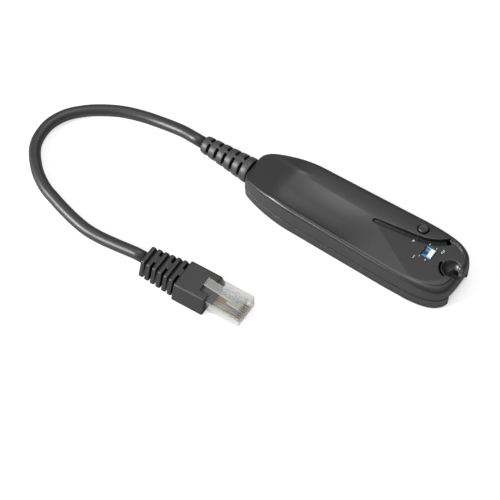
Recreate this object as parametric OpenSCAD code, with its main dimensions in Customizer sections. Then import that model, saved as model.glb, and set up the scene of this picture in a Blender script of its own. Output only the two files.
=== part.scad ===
// Hand-held configuration loader: a wand-shaped plastic housing with a start button, a
// two-position selector and a lanyard hole, on a short captive lead with an 8-way modular plug.
// +X runs along the housing to its nose, +Z is up, and the origin is under the housing's centre.

/* [Housing] */
// Length of the housing
body_l = 94.4; // [90:0.1:110]
// Greatest width of the housing, behind the nose
body_w = 29.2; // [28:0.1:32]
// Width of the housing where the tail starts to draw in
waist_w = 26.4; // [25:0.1:27.6]
// Width of the flat tail face between its corner curves
tail_flat_w = 6.8; // [5:0.1:7.5]
// Length over which the tail draws in
tail_l = 28; // [24:0.5:30]
// Radius of the tail's long side curves
tail_curve_r = 69; // [60:0.5:80]
// Length of the rounded nose
nose_l = 24; // [20:0.1:26]
// Squareness of the nose, 2 is an ellipse
nose_power = 3.7; // [2.6:0.1:4.2]
// Height of the parting plane between the two covers
part_z = 5.5; // [5.2:0.1:6]
// Height of the top panel's ridges at mid length
ridge_z = 13.4; // [13:0.1:14.5]
// Fall of the ridges toward the nose, in degrees
ridge_fall = 1.4; // [0.8:0.1:2]
// Fall of the side wing from the far ridge outward, in degrees
wing_fall = 2.6; // [1:0.1:5]
// Depth of the hollow between the two ridges
panel_sag = 0.6; // [0.2:0.1:0.8]
// Distance of the near ridge from the housing's side
ridge_inset = 1.5; // [1.2:0.1:2]
// Height of the tail end, where the top ramps down
tail_z = 10.8; // [10.5:0.1:11.5]
// Slope of the tail ramp, in degrees
ramp_slope = 11.3; // [9:0.1:14]
// Distance from the nose tip at which the top starts to droop
droop_start = 23.5; // [18:0.5:28]
// Radius of the droop toward the nose
droop_r = 140; // [100:1:200]
// Thickness of both covers' walls and of the floor
wall = 1.8; // [1.5:0.1:2]
// Thickness of the top cover's roof
roof_t = 2; // [1.8:0.1:2.1]
// Radius of the top edge
edge_r = 1.5; // [0.8:0.1:2]
// Radius of the top edge at the nose
nose_edge_r = 2.4; // [1.6:0.1:3]
// Radius of the bottom edge
base_r = 1; // [0.6:0.1:1.6]
// Inward draft of the top cover's side, at its top edge
draft = 0.3; // [0.1:0.1:0.6]

/* [Label pocket] */
// Distance from the nose tip to the pocket's pointed start
pocket_start = 39.75; // [36:0.25:44]
// Slope of the pocket's floor toward the nose, in degrees
pocket_fall_x = 3.4; // [2.5:0.1:4.5]
// Slope of the pocket's floor toward the wing, in degrees
pocket_fall_y = 3.5; // [2.5:0.1:5]
// Width of the groove along the wing
groove_w = 2; // [1:0.1:2.4]
// Depth of the groove below the pocket's floor
groove_d = 0.8; // [0.3:0.1:1]
// Radius with which the groove turns outward at the nose
groove_r = 17; // [14:0.5:20]
// Width of the rim between the pocket and the nose
rim_w = 2.3; // [1.8:0.1:3]

/* [Lanyard eye] */
// Diameter of the lanyard hole
lanyard_d = 3.2; // [2.5:0.1:4]
// Distance from the nose tip to the lanyard hole
lanyard_from_tip = 3.6; // [3.4:0.05:4.2]
// Radius of the dish round the lanyard hole
dish_r = 4; // [3.6:0.1:4.2]
// Depth of the dish below the top of the drooping nose
dish_d = 3.2; // [2.8:0.1:3.6]
// Width of the notch under the nose bar
notch_w = 14.4; // [10:0.2:16]
// Length of the notch under the nose bar
notch_l = 6; // [5.6:0.1:7]

/* [Controls] */
// Diameter of the start button
button_d = 3.9; // [3.4:0.1:4.4]
// Gap round the start button
button_gap = 0.35; // [0.25:0.05:0.5]
// Height of the start button above the wing
button_rise = 0.8; // [0.6:0.1:1.2]
// Travel of the start button
button_travel = 0.5; // [0.3:0.05:0.6]
// Distance from the nose tip to the start button
button_from_tip = 22.5; // [21:0.25:25]
// Distance from the housing's side to the start button
button_from_side = 5.1; // [4.7:0.1:5.5]
// Length of the selector's window, along the housing
window_l = 4.3; // [3.8:0.1:5]
// Width of the selector's window
window_w = 5; // [4:0.1:5.4]
// Distance from the nose tip to the selector
selector_from_tip = 15.5; // [15.3:0.1:17]
// Distance of the selector from the centreline
selector_y = 1.9; // [0.5:0.1:2.5]
// Length of the selector's knob, along its travel
knob_l = 1.8; // [1.2:0.1:2]
// Gap between the knob and the window
knob_gap = 0.15; // [0.1:0.05:0.25]

/* [Circuit board] */
// Thickness of the circuit board
board_t = 1.6; // [1.4:0.1:1.7]
// Height of the circuit board's underside
board_z = 6.3; // [6.1:0.1:6.4]
// Gap between the housing's lip and the circuit board
board_gap = 0.4; // [0.2:0.1:0.6]
// Distance from the tail face to the board's edge
board_from_tail = 14.4; // [13.5:0.1:15]
// Distance from the nose tip to the board's edge
board_from_tip = 12; // [11.6:0.1:13]

/* [Fasteners] */
// Diameter of the screws' shanks
screw_d = 2; // [1.8:0.1:2.2]
// Diameter of the screws' heads
screw_head_d = 3.8; // [3.4:0.1:4]
// Length of the screws' shanks
screw_l = 8; // [7:0.1:8.4]
// Depth of the screw heads' seats above the base
screw_seat = 2.4; // [2.2:0.1:2.6]
// Diameter of the screw bosses
boss_d = 5.6; // [5.4:0.1:6.2]
// Distance from the tail face to the rear screw
screw_a_from_tail = 24.75; // [24:0.5:27]
// Distance between the two screws
screw_pitch = 35; // [33:0.5:36]

/* [Lead] */
// Diameter of the cord
cord_d = 4.9; // [4.6:0.1:5.2]
// Length of the strain relief outside the housing
relief_l = 23.3; // [22:0.1:24]
// Diameter of the strain relief at the housing
relief_d = 10.8; // [9.6:0.1:10.8]
// Diameter of the strain relief at its free end
relief_end_d = 7.2; // [6:0.1:7.6]
// Distance from window to window along the strain relief
relief_pitch = 4; // [3.8:0.02:4.2]
// Width of each window in the strain relief
relief_slot = 1.2; // [0.9:0.1:1.4]
// Diameter of the strain relief's neck in the tail wall
neck_d = 6; // [5.6:0.1:6.4]
// Diameter of the strain relief's flange behind the tail wall
flange_d = 7; // [6.8:0.1:7.2]

/* [Plug] */
// Width of the modular plug
plug_w = 11.68; // [11.5:0.01:11.8]
// Height of the modular plug
plug_h = 6.6; // [6.4:0.1:6.8]
// Length of the modular plug
plug_l = 21.5; // [21:0.1:22]
// Length of the plug boot's block
boot_l = 13.8; // [13:0.1:15]
// Width of the plug boot at its base
boot_w = 17.2; // [15.4:0.1:17.4]
// Width of the plug boot at its top
boot_top_w = 13.2; // [12.6:0.1:14.4]
// Height of the plug boot
boot_h = 8; // [7.9:0.1:9]
// Length of the plug that the boot leaves bare
plug_bare = 14.7; // [13.8:0.1:15.2]
// Width of the comb's first plate, behind the boot
comb_w = 15.2; // [13.6:0.1:15.4]
// Loss of width from plate to plate along the comb
comb_taper = 0.5; // [0.2:0.1:0.6]
// Distance from plate to plate along the comb
comb_pitch = 2.73; // [2.6:0.01:2.9]
// Thickness of each plate of the comb
comb_plate = 1.8; // [1.6:0.1:1.9]
// Lift of the latch's free end above its root, in degrees
latch_lift = 9; // [7:0.5:11]

/* [Hidden] */
$fn = 48;

// Places along X that follow from the two ends
tail_x = -body_l / 2;
tip_x = body_l / 2;
waist_x = tail_x + tail_l;
nose_x = tip_x - nose_l;
droop_x = tip_x - droop_start;
pocket_x = tip_x - pocket_start;
lanyard_x = tip_x - lanyard_from_tip;
lanyard_y = 0.9;
button_x = tip_x - button_from_tip;
button_y = body_w / 2 - button_from_side;
selector_x = tip_x - selector_from_tip;
screw_xs = [tail_x + screw_a_from_tail, tail_x + screw_a_from_tail + screw_pitch];

// ---- Outline of the housing, seen from above, inset by d ----
// Number of points in each stretch of one side
corner_n = 3;
tail_n = 6;
side_n = 4;
nose_n = 12;
// Length of the tail's corner curve
corner_l = 3;
// Angle at which the nose's curve stops short of the tip
nose_stop = 88;

function tail_half(x, d) = waist_w / 2 - tail_curve_r
    + sqrt(pow(tail_curve_r - d, 2) - pow(waist_x - x, 2));
function bezier(a, b, c, t) = (1 - t) * (1 - t) * a + 2 * t * (1 - t) * b + t * t * c;
function side(d) =
    let (
        x0 = tail_x + d,
        x1 = x0 + corner_l,
        y1 = tail_half(x1, d),
        lean = tan(asin((waist_x - x1) / (tail_curve_r - d))),
        ctrl = [x0, y1 - (x1 - x0) * lean],
        start = [x0, min(tail_flat_w / 2, y1 - 2.2)],
        a = nose_l - d,
        b = body_w / 2 - d
    )
    concat(
        [for (i = [0 : corner_n - 1]) bezier(start, ctrl, [x1, y1], i / corner_n)],
        [for (i = [0 : tail_n - 1])
            let (x = x1 + (waist_x - x1) * i / tail_n) [x, tail_half(x, d)]],
        [for (i = [0 : side_n - 1])
            let (t = i / side_n)
            [waist_x + (nose_x - waist_x) * t, (waist_w / 2 - d) * (1 - t) + b * t]],
        [for (i = [0 : nose_n])
            let (q = nose_stop * i / nose_n)
            [nose_x + a * pow(sin(q), 2 / nose_power), b * pow(cos(q), 2 / nose_power)]]);
function mirror_y(pts) = [for (p = pts) [p[0], -p[1]]];
function reversed(pts) = [for (i = [len(pts) - 1 : -1 : 0]) pts[i]];
// Counter-clockwise from the near side of the tail, round the nose, to the far side
function outline(d) = concat(mirror_y(side(d)), reversed(side(d)));

// ---- Height of the top surface ----
// The far ridge runs in from the tail's corner, then on toward the pocket's start
far_ridge_tail_y = 8.3;
far_ridge_mid_y = 4.4;
pocket_y = 3.4;
ridge_bend_x = tail_x + 21;
function far_ridge_y(x) = x < ridge_bend_x
    ? far_ridge_mid_y + (far_ridge_tail_y - far_ridge_mid_y)
        * pow((ridge_bend_x - x) / (ridge_bend_x - tail_x), 2)
    : max(pocket_y, far_ridge_mid_y
        - (far_ridge_mid_y - pocket_y) * (x - ridge_bend_x) / (pocket_x - ridge_bend_x));
// The near ridge follows the housing's side
function half_width(x) = x < waist_x ? tail_half(x, 0)
    : min(body_w, waist_w + (body_w - waist_w) * (x - waist_x) / (nose_x - waist_x)) / 2;
function near_ridge_y(x) = ridge_inset - half_width(x);
function ridge_height(x) = ridge_z - x * tan(ridge_fall);
function smooth(a, b, x) = let (t = min(1, max(0, (x - a) / (b - a)))) t * t * (3 - 2 * t);
// The hollow fades out before the pocket
function sag(x) = panel_sag * (1 - smooth(pocket_x - 14, pocket_x + 6, x));
function ramp(x) = tail_z + (x - tail_x) * tan(ramp_slope);
function panel_z(x, y) =
    let (yf = far_ridge_y(x), yn = near_ridge_y(x), t = (2 * y - yf - yn) / (yf - yn))
    min(ramp(x), ridge_height(x) - sag(x) * max(0, 1 - t * t));
// Outward from the far ridge, the ramp's crease melts into a rounded shoulder
shoulder_y = 3;
shoulder_k = 1.8;
function blend(a, b, k) = let (h = max(0, k - abs(a - b)) / max(k, 0.01)) min(a, b) - h * h * k / 4;
function wing_z(x, out) = blend(ridge_height(x), ramp(x), shoulder_k * min(1, out / shoulder_y))
    - out * tan(wing_fall);
function droop(x) = x < droop_x ? 99
    : ridge_height(droop_x) - pow(x - droop_x, 2) / (2 * droop_r);
function top_height(x, y) = let (out = y - far_ridge_y(x))
    min(out > 0 ? wing_z(x, out) : panel_z(x, y), droop(x));
function edge_radius(x) = edge_r + (nose_edge_r - edge_r) * smooth(nose_x + 5, tip_x - 3, x);

// ---- A closed block from the parting plane up to the top surface ----
near_cols = 5;
far_cols = 3;
function flat_ring(d, z) = [for (p = outline(d)) [p[0], p[1], z]];
// The ring at angle q of the rounded top edge
function round_ring(q) = [for (i = [0 : len(outline(0)) - 1])
    let (
        base = outline(draft)[i],
        r = edge_radius(outline(0)[i][0]),
        inner = outline(draft + r * (1 - cos(q)))[i]
    )
    [inner[0], inner[1], top_height(base[0], base[1]) - r * (1 - sin(q))]];
// One row of the top grid from the near edge point to the far edge point
function grid_row(a, b) =
    let (yr = min(far_ridge_y(a[0]), b[1] * 0.9))
    concat(
        [for (j = [1 : near_cols]) let (y = a[1] + (yr - a[1]) * j / near_cols)
            [a[0], y, top_height(a[0], y)]],
        [for (j = [1 : far_cols - 1]) let (y = yr + (b[1] - yr) * j / far_cols)
            [a[0], y, top_height(a[0], y)]]);
module cover_block() {
    rings = concat([flat_ring(0, part_z)], [for (q = [0, 30, 60, 90]) round_ring(q)]);
    n = len(rings[0]);
    h = n / 2;
    k = len(rings);
    top = rings[k - 1];
    inner = [for (i = [1 : h - 2]) each grid_row(top[i], top[n - 1 - i])];
    cols = near_cols + far_cols - 1;
    pts = concat([for (r = rings) each r], inner);
    // Index of grid point j of row i, whose ends lie on the last ring
    function at(i, j) = j == 0 ? (k - 1) * n + i
        : j == cols + 1 ? (k - 1) * n + n - 1 - i
        : k * n + (i - 1) * cols + j - 1;
    walls = [for (r = [0 : k - 2], i = [0 : n - 1])
        let (a = r * n + i, b = r * n + (i + 1) % n)
        each [[a, b + n, b], [a, a + n, b + n]]];
    top_faces = [for (i = [1 : h - 3], j = [0 : cols])
        each [[at(i, j), at(i, j + 1), at(i + 1, j + 1)],
              [at(i, j), at(i + 1, j + 1), at(i + 1, j)]]];
    // The first and last rows have no points between their ends
    tail_near = at(0, 0);
    tail_far = at(0, cols + 1);
    nose_near = at(h - 1, 0);
    nose_far = at(h - 1, cols + 1);
    end_faces = concat(
        [for (j = [0 : cols]) [tail_near, at(1, j + 1), at(1, j)]],
        [[tail_near, tail_far, at(1, cols + 1)]],
        [for (j = [0 : cols]) [nose_far, at(h - 2, j), at(h - 2, j + 1)]],
        [[nose_near, at(h - 2, 0), nose_far]]);
    base_faces = [for (i = [0 : h - 2])
        each [[i, i + 1, n - 2 - i], [i, n - 2 - i, n - 1 - i]]];
    polyhedron(points = pts, faces = concat(walls, top_faces, end_faces, base_faces), convexity = 6);
}

// ---- Covers ----
tail_hole_d = neck_d + 0.2;
module tail_hole() {
    translate([tail_x - 1, 0, part_z]) rotate([0, 90, 0])
        cylinder(d = tail_hole_d, h = cavity_inset + 2);
}
// The nose block in front of the cavity
nose_block_x = tip_x - 10.5;
cavity_inset = wall + draft;
// Greatest fall of the wing, from the far ridge to the cavity's wall
wing_drop = (body_w / 2 - cavity_inset - pocket_y) * tan(wing_fall);
function ceiling_z(x) = min(ridge_height(x) - max(sag(x), wing_drop), ramp(x), droop(x)) - roof_t;
ceiling_n = 12;
module cavity() {
    x0 = tail_x + wall;
    intersection() {
        translate([0, 0, part_z - 1]) linear_extrude(20) polygon(outline(cavity_inset));
        translate([0, body_w, 0]) rotate([90, 0, 0]) linear_extrude(2 * body_w) polygon(concat(
            [[x0, 0]],
            [for (i = [0 : ceiling_n]) let (x = x0 + (nose_block_x - x0) * i / ceiling_n)
                [x, ceiling_z(x)]],
            [[nose_block_x, 0]]));
    }
}
// ---- Label pocket: flat shapes, raised from the pocket's sloping floor ----
pocket_z = ridge_height(pocket_x);
groove_len = 17.5;
groove_turn = 42;
groove_heading = 8;
// Places a flat shape drawn in the housing's plan on the pocket's floor, `lower` below it
module on_pocket_floor(lower) {
    translate([pocket_x, pocket_y, pocket_z]) rotate([-pocket_fall_y, pocket_fall_x, 0])
        translate([-pocket_x, -pocket_y, -lower]) linear_extrude(12) children();
}
module at_groove() { translate([pocket_x, pocket_y]) rotate(groove_heading) children(); }
// Everything on the wing's side of the groove's line: straight, then an arc outward
module wing_side() {
    at_groove() {
        translate([-10, 0]) square([groove_len + 10, 30]);
        translate([groove_len, groove_r]) circle(r = groove_r);
        translate([groove_len, groove_r]) rotate(groove_turn - 90) square([groove_r, 40]);
    }
}
module pocket_shape() {
    difference() {
        polygon(outline(rim_w));
        translate([tail_x - 1, -body_w]) square([pocket_x - tail_x, 2 * body_w]);
        wing_side();
    }
}
module groove_shape() {
    at_groove() {
        translate([0, -groove_w / 2]) circle(d = groove_w);
        translate([0, -groove_w]) square([groove_len, groove_w]);
        difference() {
            translate([groove_len, groove_r]) circle(r = groove_r + groove_w);
            translate([groove_len, groove_r]) circle(r = groove_r);
            translate([groove_len - body_l, -body_l]) square([body_l, 2 * body_l]);
            translate([groove_len, groove_r]) rotate(groove_turn - 90)
                translate([-body_l, 0]) square([2 * body_l, body_l]);
        }
    }
}
module label_pocket() {
    on_pocket_floor(0) pocket_shape();
    on_pocket_floor(groove_d) groove_shape();
}
dish_x = lanyard_x - 1;
dish_y = lanyard_y;
dish_z = droop(dish_x) - dish_d + dish_r;
saddle_r = 3.2;
saddle_z = dish_z - 0.3;
slot_d = 3;
module lanyard_dish() {
    translate([dish_x, dish_y, dish_z]) sphere(r = dish_r);
    // The dish runs out over the bar as a saddle in the front rim
    translate([dish_x, dish_y, saddle_z]) rotate([0, 90, 0]) cylinder(r = saddle_r, h = 12);
    // Arc-shaped slot behind the dish
    translate([dish_x, dish_y, droop(dish_x) - slot_d]) rotate(172)
        rotate_extrude(angle = 88) translate([dish_r + 0.3, 0]) square([0.8, 8]);
}
module lanyard_hole() {
    translate([lanyard_x, lanyard_y, 0]) cylinder(d = lanyard_d, h = 30);
}
post_z = board_z + board_t;
module top_cover() {
    color([0.16, 0.16, 0.17]) difference() {
        union() {
            difference() {
                cover_block();
                cavity();
            }
            for (x = screw_xs) translate([x, 0, post_z])
                cylinder(d = boss_d, h = ceiling_z(x) + roof_t / 2 - post_z);
        }
        tail_hole();
        label_pocket();
        lanyard_dish();
        lanyard_hole();
        for (x = screw_xs) translate([x, 0, part_z])
            cylinder(d = screw_d + 0.06, h = screw_seat + screw_l + 0.3 - part_z);
        translate([button_x, button_y, part_z]) cylinder(d = button_d + 2 * button_gap, h = 20);
        translate([selector_x - window_l / 2, selector_y - window_w / 2, part_z])
            cube([window_l, window_w, 20]);
    }
}

lip_gap = 0.1;
lip_t = 0.8;
lip_h = 1;
module bottom_cover() {
    color([0.15, 0.15, 0.16]) difference() {
        union() {
            difference() {
                base_block();
                translate([0, 0, wall]) linear_extrude(part_z) intersection() {
                    polygon(outline(wall));
                    translate([tail_x, -body_w]) square([nose_block_x - tail_x, 2 * body_w]);
                }
            }
            lip();
            for (x = screw_xs) translate([x, 0, wall - 1]) cylinder(d = boss_d, h = board_z - wall + 1);
            for (p = pillar_spots()) translate([p[0], p[1], wall - 1])
                cylinder(d = pillar_d, h = board_z - wall + 1);
        }
        tail_hole();
        translate([tail_x + cavity_inset, 0, part_z]) rotate([0, 90, 0])
            cylinder(d = flange_d + 0.4, h = flange_t + 4);
        for (x = screw_xs) translate([x, 0, -1]) {
            cylinder(d = screw_head_d + 0.4, h = screw_seat + 1);
            cylinder(d = screw_d + 0.3, h = 20);
        }
        translate([tip_x - notch_l, -notch_w / 2, -1]) cube([notch_l + 1, notch_w, part_z + 2]);
    }
}
pillar_d = 3;
function pillar_spots() = [for (x = [board_x0 + pillar_d, board_x1 - pillar_d], s = [-1, 1])
    [x, s * (body_w / 2 - (x < 0 ? 9.05 : 6.55))]];
module base_block() {
    // Inset and height of each ring, from the parting plane down round the bottom edge
    levels = concat([[0, part_z]], [for (q = [0, 45, 90])
        [draft / 2 + base_r * (1 - cos(q)), base_r * (1 - sin(q))]]);
    rings = [for (v = levels) flat_ring(v[0], v[1])];
    n = len(rings[0]);
    h = n / 2;
    k = len(rings);
    last = (k - 1) * n;
    walls = [for (r = [0 : k - 2], i = [0 : n - 1])
        let (a = r * n + i, b = r * n + (i + 1) % n)
        each [[a, b, b + n], [a, b + n, a + n]]];
    base_faces = [for (i = [0 : h - 2])
        each [[last + i, last + i + 1, last + n - 2 - i],
              [last + i, last + n - 2 - i, last + n - 1 - i]]];
    top_faces = [for (i = [0 : h - 2])
        each [[i, n - 2 - i, i + 1], [i, n - 1 - i, n - 2 - i]]];
    polyhedron(points = [for (r = rings) each r], faces = concat(walls, base_faces, top_faces),
               convexity = 4);
}
lip_inset = cavity_inset + lip_gap;
module lip() {
    intersection() {
        union() {
            translate([0, 0, part_z - 2]) linear_extrude(2 + lip_h) difference() {
                polygon(outline(lip_inset));
                polygon(outline(lip_inset + lip_t));
            }
            // The lip's root reaches into the wall
            translate([0, 0, part_z - 2]) linear_extrude(2 - lip_gap) difference() {
                polygon(outline(wall - 0.3));
                polygon(outline(lip_inset + lip_t));
            }
        }
        translate([tail_x, -body_w, 0]) cube([nose_block_x - tail_x - lip_gap, 2 * body_w, 30]);
    }
}

module housing_screws() {
    color([0.62, 0.63, 0.65]) for (x = screw_xs) translate([x, 0, screw_seat]) difference() {
        union() {
            cylinder(d = screw_d, h = screw_l);
            translate([0, 0, -1.5]) cylinder(d = screw_head_d, h = 1.5);
        }
        for (q = [0, 90]) rotate(q) translate([-1.2, -0.25, -1.6]) cube([2.4, 0.5, 0.9]);
    }
}

// ---- Electronics ----
board_x0 = tail_x + board_from_tail;
board_x1 = tip_x - board_from_tip;
board_inset = lip_inset + lip_t + board_gap;
module circuit_board() {
    color([0.09, 0.35, 0.2]) difference() {
        translate([0, 0, board_z]) linear_extrude(board_t) intersection() {
            polygon(outline(board_inset));
            translate([board_x0, -body_w]) square([board_x1 - board_x0, 2 * body_w]);
        }
        for (x = screw_xs) translate([x, 0, 0]) cylinder(d = screw_d + 0.4, h = 20);
    }
}
// A chip body with legs on two sides
module chip(l, w, h, legs) {
    translate([-l / 2, -w / 2, 0.1]) cube([l, w, h - 0.1]);
    for (i = [0 : legs - 1], s = [-1, 1])
        translate([(i - (legs - 1) / 2) * l / legs - 0.2, s > 0 ? w / 2 - 0.2 : -w / 2 - 0.8, 0])
            cube([0.4, 1, 0.4]);
}
module on_board(x, y) { translate([x, y, post_z]) children(); }
// Places of the parts on the board, between the two screws
chip_x = (screw_xs[0] + screw_xs[1]) / 2;
driver_x = screw_xs[0] + 7.5;
memory_x = screw_xs[1] - 8;
side_y = body_w / 2 - 8.55;
module microcontroller() {
    color([0.1, 0.1, 0.1]) on_board(chip_x, 0) {
        chip(7, 7, 1.2, 8);
        rotate(90) chip(7, 7, 1.2, 8);
    }
}
module memory_chip() {
    color([0.12, 0.12, 0.12]) on_board(memory_x, side_y) chip(4.9, 3.9, 1.5, 4);
}
module line_driver() {
    color([0.12, 0.12, 0.12]) on_board(driver_x, 0) rotate(90) chip(4.9, 3.9, 1.5, 4);
}
module regulator() {
    color([0.12, 0.12, 0.12]) on_board(memory_x, -side_y) chip(6.5, 3.5, 1.6, 3);
}
module crystal() {
    color([0.75, 0.75, 0.72]) on_board(chip_x, side_y + 1.8) translate([-2.5, -1.2, 0])
        cube([5, 2.4, 1.2]);
}
capacitor_n = 5;
capacitor_pitch = 4;
module capacitors() {
    color([0.6, 0.48, 0.32]) for (i = [0 : capacitor_n - 1])
        on_board(screw_xs[0] + 2.5 + i * capacitor_pitch, -side_y - 1.9)
            translate([-1, -0.6, 0]) cube([2, 1.2, 1.1]);
}
header_l = 4;
header_h = 3;
header_x = board_x0 + 1.2;
wire_n = 8;
wire_pitch = 1.25;
wire_d = 0.8;
wire_core_d = 0.6;
module lead_header() {
    color([0.9, 0.88, 0.8]) difference() {
        on_board(header_x, 0) translate([0, -wire_pitch * wire_n / 2 - 1, 0])
            cube([header_l, wire_pitch * wire_n + 2, header_h]);
        for (i = [0 : wire_n - 1]) translate([header_x - 1, wire_end_y(i), wire_end_z])
            rotate([0, 90, 0]) cylinder(d = wire_core_d + 0.04, h = 3, $fn = 16);
    }
}
function wire_end_y(i) = (i - (wire_n - 1) / 2) * wire_pitch;
wire_end_z = post_z + 1.7;
// A round rod between two points
module rod(a, b, d) {
    v = b - a;
    translate(a) rotate([0, acos(v[2] / norm(v)), atan2(v[1], v[0])])
        cylinder(d = d, h = norm(v), $fn = 16);
}
flange_x = tail_x + cavity_inset + 0.1;
flange_t = 2;
stub_x = flange_x + flange_t + 3;
module lead_wires() {
    color([0.75, 0.35, 0.2]) for (i = [0 : wire_n - 1]) {
        a = [stub_x + 0.2, (floor(i / 2) - 1.5) * 1.05, part_z + (i % 2 == 0 ? -0.8 : 0.8)];
        b = [header_x - 0.4, wire_end_y(i), wire_end_z];
        rod(a, b, wire_d);
        // Bare end in the header
        translate([header_x - 0.9, wire_end_y(i), wire_end_z]) rotate([0, 90, 0])
            cylinder(d = wire_core_d, h = 2.4, $fn = 16);
    }
}

// ---- Start button ----
button_top = top_height(button_x, button_y);
button_flange_r = button_d / 2 + 0.65;
button_flange_t = 0.6;
// The flange stays just under the ceiling, and the switch fills the height below it
flange_top_z = ceiling_z(button_x + button_flange_r) - 0.1;
plunger_top = flange_top_z - button_flange_t - 0.1;
switch_h = plunger_top - button_travel - 0.1 - post_z;
plunger_d = 1.6;
module button_switch() {
    color([0.2, 0.2, 0.21]) difference() {
        on_board(button_x, button_y) translate([-2.1, -1.6, 0]) cube([4.2, 3.2, switch_h]);
        translate([button_x, button_y, post_z - 1]) cylinder(d = plunger_d + 0.1, h = switch_h + 2);
    }
}
module switch_plunger() {
    z0 = post_z + 0.05 + button_travel;
    color([0.75, 0.72, 0.6]) translate([button_x, button_y, z0])
        cylinder(d = plunger_d, h = plunger_top - z0);
}
crown_z = button_top + button_rise;
crown_bevel = 0.3;
crown_dimple_r = 3;
module start_button() {
    color([0.18, 0.18, 0.19]) translate([button_x, button_y, 0]) difference() {
        union() {
            translate([0, 0, plunger_top]) cylinder(d = 2.2, h = flange_top_z - plunger_top);
            translate([0, 0, flange_top_z - button_flange_t])
                cylinder(r = button_flange_r, h = button_flange_t);
            translate([0, 0, flange_top_z - 0.1])
                cylinder(d = button_d, h = crown_z - crown_bevel - flange_top_z + 0.1);
            translate([0, 0, crown_z - crown_bevel])
                cylinder(d1 = button_d, d2 = button_d - 2 * crown_bevel, h = crown_bevel);
        }
        // Dimple in the button's crown
        translate([0, 0, crown_z + crown_dimple_r - 0.15]) sphere(r = crown_dimple_r);
    }
}

// ---- Selector ----
pocket_floor_z = pocket_z - (selector_x - pocket_x) * tan(pocket_fall_x)
    - (selector_y - pocket_y) * tan(pocket_fall_y);
switch_l = 6.8;
switch_w = 6.6;
switch_top_z = ceiling_z(selector_x + switch_l / 2) - 0.2;
// The switch's raised block stands in the window, and the knob slides in its slot
block_gap = 0.1;
block_top_z = pocket_floor_z - 0.4;
slot_floor_z = block_top_z - 0.9;
slot_w = window_w - 1;
foot_w = 1.5;
foot_z = post_z + 0.9;
knob_travel = window_l - knob_l - 2 * knob_gap;
knob_x = selector_x + knob_travel / 2;
module box_at(x, y, z0, l, w, z1) { translate([x - l / 2, y - w / 2, z0]) cube([l, w, z1 - z0]); }
module selector_switch() {
    color([0.13, 0.38, 0.68]) difference() {
        union() {
            box_at(selector_x, selector_y, post_z, switch_l, switch_w, switch_top_z);
            box_at(selector_x, selector_y, switch_top_z - 0.5, window_l - 2 * block_gap,
                   window_w - 2 * block_gap, block_top_z);
        }
        box_at(selector_x, selector_y, slot_floor_z, window_l + 1, slot_w, 30);
        box_at(selector_x, selector_y, foot_z, window_l, foot_w + 0.2, 30);
    }
}
knob_top_z = pocket_floor_z + 0.2;
module selector_knob() {
    color([0.93, 0.94, 0.95]) {
        box_at(knob_x, selector_y, slot_floor_z + 0.1, knob_l, slot_w - 0.2, knob_top_z);
        box_at(knob_x, selector_y, foot_z + 0.1, knob_l, foot_w, slot_floor_z + 0.2);
    }
}

// ---- Strain relief at the housing ----
relief_yaw = 2.3;
slot_n = 5;
web_angle = 16;
// Turn of the first web from straight up, toward the near side
web_turn = 8;
function relief_r(t) = (relief_d + (relief_end_d - relief_d) * t) / 2;
module cord_relief() {
    color([0.17, 0.17, 0.18]) {
        translate([tail_x - 0.25, 0, part_z]) rotate([0, -90, -relief_yaw]) difference() {
            rotate_extrude() relief_profile();
            relief_windows();
        }
        translate([tail_x - 0.6, 0, part_z]) rotate([0, 90, 0])
            cylinder(d = neck_d, h = cavity_inset + 0.8);
        translate([flange_x, 0, part_z]) rotate([0, 90, 0]) cylinder(d = flange_d, h = flange_t);
        translate([flange_x, 0, part_z]) rotate([0, 90, 0])
            cylinder(d = cord_d, h = stub_x - flange_x);
    }
}
// Six barrel-shaped rings on one taper
module relief_profile() {
    starts = concat([0], [for (i = [0 : slot_n - 1]) relief_slot_at(i)], [relief_l - 0.25]);
    polygon(concat([[0, 0]],
        [for (i = [0 : slot_n]) let (a = starts[i], b = starts[i + 1])
            each [for (t = [0, 0.2, 0.5, 0.8])
                [relief_r((a + (b - a) * t) / relief_l) - 0.22 * pow(2 * t - 1, 2), a + (b - a) * t]]],
        [[relief_end_d / 2 - 0.25, relief_l - 0.25], [0, relief_l - 0.25]]));
}
function relief_slot_at(i) = (relief_l - (slot_n - 1) * relief_pitch) / 2 + i * relief_pitch;
module relief_windows() {
    for (i = [0 : slot_n - 1], q = [0 : 90 : 270])
        translate([0, 0, relief_slot_at(i) - relief_slot / 2]) rotate(q + web_angle / 2 - web_turn)
            rotate_extrude(angle = 90 - web_angle)
                translate([cord_d / 2 - 0.35, 0]) square([5, relief_slot]);
}

// ---- Plug and its boot, in their own frame: +X is the way the plug goes in ----
plug_yaw = 1.8;
plug_spot = [-41.7, -55.4, 0];
module at_plug() { translate(plug_spot) rotate(plug_yaw) children(); }
axis_z = boot_h / 2;
plug_x0 = boot_l + plug_bare - plug_l;
plug_z0 = axis_z - plug_h / 2;
comb_n = 6;
comb_l = comb_n * comb_pitch;
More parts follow.
